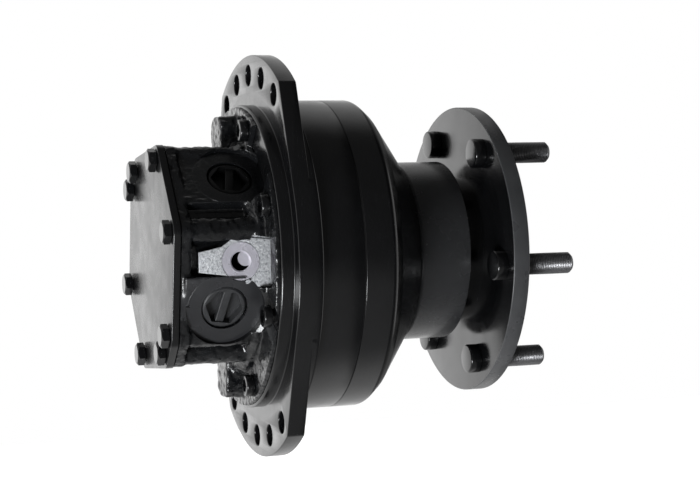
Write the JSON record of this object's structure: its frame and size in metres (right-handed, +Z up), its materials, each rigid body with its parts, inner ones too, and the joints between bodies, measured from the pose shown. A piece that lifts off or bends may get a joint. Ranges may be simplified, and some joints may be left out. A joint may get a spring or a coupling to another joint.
{
  "type": "hydraulic motor",
  "caption": "Radial-piston hydraulic wheel motor: two-eared chassis flange, cam-ring drum, tapered neck, studded wheel flange and a rear casting with ports.",
  "frame": {"origin": "on the shaft axis, in the plane of the mounting plate's rear face", "axes": "+X along the shaft to the wheel flange, +Z up through the upper ear, -Y to the drain port side"},
  "size_m": [0.3438, 0.28, 0.34],
  "materials": {
    "black_paint": "gloss black enamel over castings",
    "cover_paint": "gloss black enamel on flat steel plate",
    "bolt_steel": "black painted hex and socket heads",
    "stud_steel": "black phosphated stud with a painted head",
    "plug_plastic": "satin dark grey plug",
    "ground_steel": "ground bearing steel",
    "dark_steel": "hardened dark steel",
    "cast_iron": "machined cast iron",
    "seal_rubber": "matte black nitrile rubber"
  },
  "bodies": {
    "housing": {"mounting_plate": "black_paint", "cam_ring": "black_paint", "front_housing": "black_paint", "rear_cover": "black_paint", "end_cover": "cover_paint", "port_plug_a": "plug_plastic", "port_plug_b": "plug_plastic", "distributor": "cast_iron", "inner_bearing_cup": "ground_steel", "outer_bearing_cup": "ground_steel", "shaft_seal": "seal_rubber", "end_gasket": "seal_rubber", "cover_bolt_1": "bolt_steel", "cover_bolt_2": "bolt_steel", "cover_bolt_3": "bolt_steel", "cover_bolt_4": "bolt_steel", "cover_bolt_5": "bolt_steel", "cover_bolt_6": "bolt_steel", "cover_bolt_7": "bolt_steel", "cover_bolt_8": "bolt_steel", "housing_bolt_1": "bolt_steel", "housing_bolt_2": "bolt_steel", "housing_bolt_3": "bolt_steel", "housing_bolt_4": "bolt_steel", "housing_bolt_5": "bolt_steel", "housing_bolt_6": "bolt_steel", "housing_bolt_7": "bolt_steel", "housing_bolt_8": "bolt_steel"},
    "rotor": {"wheel_shaft": "black_paint", "cylinder_block": "ground_steel", "inner_bearing_cone": "ground_steel", "outer_bearing_cone": "ground_steel", "bearing_nut": "dark_steel", "wheel_stud_1": "stud_steel", "wheel_stud_2": "stud_steel", "wheel_stud_3": "stud_steel", "wheel_stud_4": "stud_steel", "wheel_stud_5": "stud_steel", "wheel_stud_6": "stud_steel"},
    "piston_1": {"piston_1": "dark_steel"},
    "roller_1": {"roller_1": "ground_steel"},
    "piston_2": {"piston_2": "dark_steel"},
    "roller_2": {"roller_2": "ground_steel"},
    "piston_3": {"piston_3": "dark_steel"},
    "roller_3": {"roller_3": "ground_steel"},
    "piston_4": {"piston_4": "dark_steel"},
    "roller_4": {"roller_4": "ground_steel"},
    "piston_5": {"piston_5": "dark_steel"},
    "roller_5": {"roller_5": "ground_steel"},
    "piston_6": {"piston_6": "dark_steel"},
    "roller_6": {"roller_6": "ground_steel"},
    "piston_7": {"piston_7": "dark_steel"},
    "roller_7": {"roller_7": "ground_steel"},
    "piston_8": {"piston_8": "dark_steel"},
    "roller_8": {"roller_8": "ground_steel"}
  },
  "joints": [
    {"name": "shaft_spin", "type": "hinge", "parent": "housing", "child": "rotor", "pos_m": [0, 0, 0], "axis": [1, 0, 0], "continuous": true},
    {"name": "piston_1_stroke", "type": "slide", "parent": "rotor", "child": "piston_1", "axis": [0, -1, 0], "range_m": [0, 0.0085]},
    {"name": "roller_1_spin", "type": "hinge", "parent": "piston_1", "child": "roller_1", "pos_m": [0.0405, -0.0835, 0], "axis": [1, 0, 0], "continuous": true},
    {"name": "piston_2_stroke", "type": "slide", "parent": "rotor", "child": "piston_2", "axis": [0, -0.7071, 0.7071], "range_m": [0, 0.0085]},
    {"name": "roller_2_spin", "type": "hinge", "parent": "piston_2", "child": "roller_2", "pos_m": [0.0405, -0.05904, 0.05904], "axis": [1, 0, 0], "continuous": true},
    {"name": "piston_3_stroke", "type": "slide", "parent": "rotor", "child": "piston_3", "axis": [0, 0, 1], "range_m": [0, 0.0014]},
    {"name": "roller_3_spin", "type": "hinge", "parent": "piston_3", "child": "roller_3", "pos_m": [0.0405, 0, 0.0835], "axis": [1, 0, 0], "continuous": true},
    {"name": "piston_4_stroke", "type": "slide", "parent": "rotor", "child": "piston_4", "axis": [0, 0.7071, 0.7071], "range_m": [0, 0.0014]},
    {"name": "roller_4_spin", "type": "hinge", "parent": "piston_4", "child": "roller_4", "pos_m": [0.0405, 0.05904, 0.05904], "axis": [1, 0, 0], "continuous": true},
    {"name": "piston_5_stroke", "type": "slide", "parent": "rotor", "child": "piston_5", "axis": [0, 1, 0], "range_m": [0, 0.0085]},
    {"name": "roller_5_spin", "type": "hinge", "parent": "piston_5", "child": "roller_5", "pos_m": [0.0405, 0.0835, 0], "axis": [1, 0, 0], "continuous": true},
    {"name": "piston_6_stroke", "type": "slide", "parent": "rotor", "child": "piston_6", "axis": [0, 0.7071, -0.7071], "range_m": [0, 0.0085]},
    {"name": "roller_6_spin", "type": "hinge", "parent": "piston_6", "child": "roller_6", "pos_m": [0.0405, 0.05904, -0.05904], "axis": [1, 0, 0], "continuous": true},
    {"name": "piston_7_stroke", "type": "slide", "parent": "rotor", "child": "piston_7", "axis": [0, 0, -1], "range_m": [0, 0.0014]},
    {"name": "roller_7_spin", "type": "hinge", "parent": "piston_7", "child": "roller_7", "pos_m": [0.0405, 0, -0.0835], "axis": [1, 0, 0], "continuous": true},
    {"name": "piston_8_stroke", "type": "slide", "parent": "rotor", "child": "piston_8", "axis": [0, -0.7071, -0.7071], "range_m": [0, 0.0014]},
    {"name": "roller_8_spin", "type": "hinge", "parent": "piston_8", "child": "roller_8", "pos_m": [0.0405, -0.05904, -0.05904], "axis": [1, 0, 0], "continuous": true}
  ],
  "couplings": [
    {"joint": "piston_5_stroke", "follows": "piston_1_stroke", "ratio": 1},
    {"joint": "piston_6_stroke", "follows": "piston_2_stroke", "ratio": 1},
    {"joint": "piston_7_stroke", "follows": "piston_3_stroke", "ratio": 1},
    {"joint": "piston_8_stroke", "follows": "piston_4_stroke", "ratio": 1}
  ]
}
